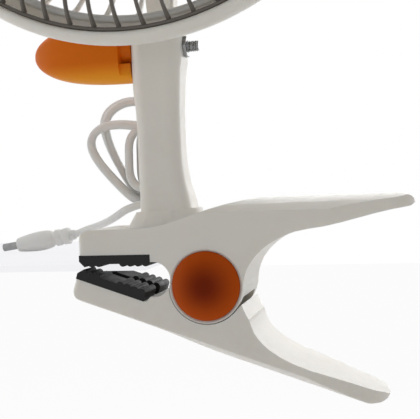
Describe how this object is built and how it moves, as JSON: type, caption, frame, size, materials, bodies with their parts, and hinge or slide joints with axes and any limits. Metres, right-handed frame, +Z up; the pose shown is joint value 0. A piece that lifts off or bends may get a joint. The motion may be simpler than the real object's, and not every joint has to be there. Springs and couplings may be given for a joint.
{
  "type": "clip-on camping fan",
  "caption": "Clip-on camping fan: caged fan head tilting on a post, orange lock knob, sprung clamp with toothed rubber pads, tied cord and barrel plug.",
  "frame": {"origin": "middle of the upper jaw's gripping plane, at the crest of its pad teeth, where the board's top face meets it", "axes": "+Z up, +X from the jaws to the squeeze handles, the fan blows towards -Y"},
  "size_m": [0.1865, 0.1373, 0.2989],
  "materials": {
    "shell_white": "satin moulded white ABS",
    "accent_orange": "semi-gloss, slightly translucent orange plastic",
    "grip_rubber": "soft black rubber",
    "grille_grey": "satin dark warm grey",
    "steel": "zinc-plated steel",
    "cord_white": "satin white PVC",
    "black_plastic": "satin black nylon",
    "magnet": "dull dark ferrite",
    "winding": "laminated core with enamelled wire",
    "bronze": "sintered bronze",
    "switch_red": "gloss red"
  },
  "bodies": {
    "clamp": {"clamp_upper": "shell_white", "upper_pads": "grip_rubber", "pivot_pin": "steel", "pivot_cap_front": "accent_orange", "pivot_cap_rear": "accent_orange", "clamp_spring": "steel", "post": "shell_white", "post_screw": "steel", "tilt_nut": "steel", "cord_grommet": "cord_white", "cord_exit": "cord_white", "cord_hank": "cord_white", "cord_tie": "black_plastic", "cord_lead": "cord_white", "plug_grip": "cord_white", "plug_barrel": "steel", "plug_liner": "black_plastic"},
    "lower_jaw": {"clamp_lower": "shell_white", "lower_pads": "grip_rubber"},
    "knob": {"tilt_knob": "accent_orange", "tilt_bolt": "steel"},
    "head": {"rear_guard": "shell_white", "front_grille": "grille_grey", "grille_cap": "shell_white", "guard_screws": "steel", "housing_base": "shell_white", "housing_cover": "shell_white", "housing_screws": "steel", "motor_can": "steel", "motor_endcap": "black_plastic", "motor_magnets": "magnet", "bush_front": "bronze", "bush_rear": "bronze", "switch_body": "black_plastic", "tilt_washers": "black_plastic"},
    "rotor": {"motor_armature": "winding", "motor_shaft": "steel", "fan_blade": "shell_white", "blade_nut": "accent_orange"},
    "rocker": {"switch_rocker": "switch_red"}
  },
  "joints": [
    {"name": "jaw_hinge", "type": "hinge", "parent": "clamp", "child": "lower_jaw", "pos_m": [0.033, 0, -0.007], "axis": [0, -1, 0], "range_deg": [-0.8, 36], "stiffness_Nm_per_rad": 1.4, "springref_deg": -13.75},
    {"name": "knob_turn", "type": "hinge", "parent": "clamp", "child": "knob", "pos_m": [0.0165, 0, 0.0767], "axis": [1, 0, 0], "range_deg": [0, 360]},
    {"name": "head_tilt", "type": "hinge", "parent": "clamp", "child": "head", "pos_m": [0.0165, 0, 0.0767], "axis": [-1, 0, 0], "range_deg": [-40, 60]},
    {"name": "blade_spin", "type": "hinge", "parent": "head", "child": "rotor", "pos_m": [0.0165, 0, 0.1619], "axis": [0, -1, 0], "continuous": true},
    {"name": "switch_rock", "type": "hinge", "parent": "head", "child": "rocker", "pos_m": [0.0165, 0.03269, 0.1619], "axis": [1, 0, 0], "range_deg": [-8, 8]}
  ]
}
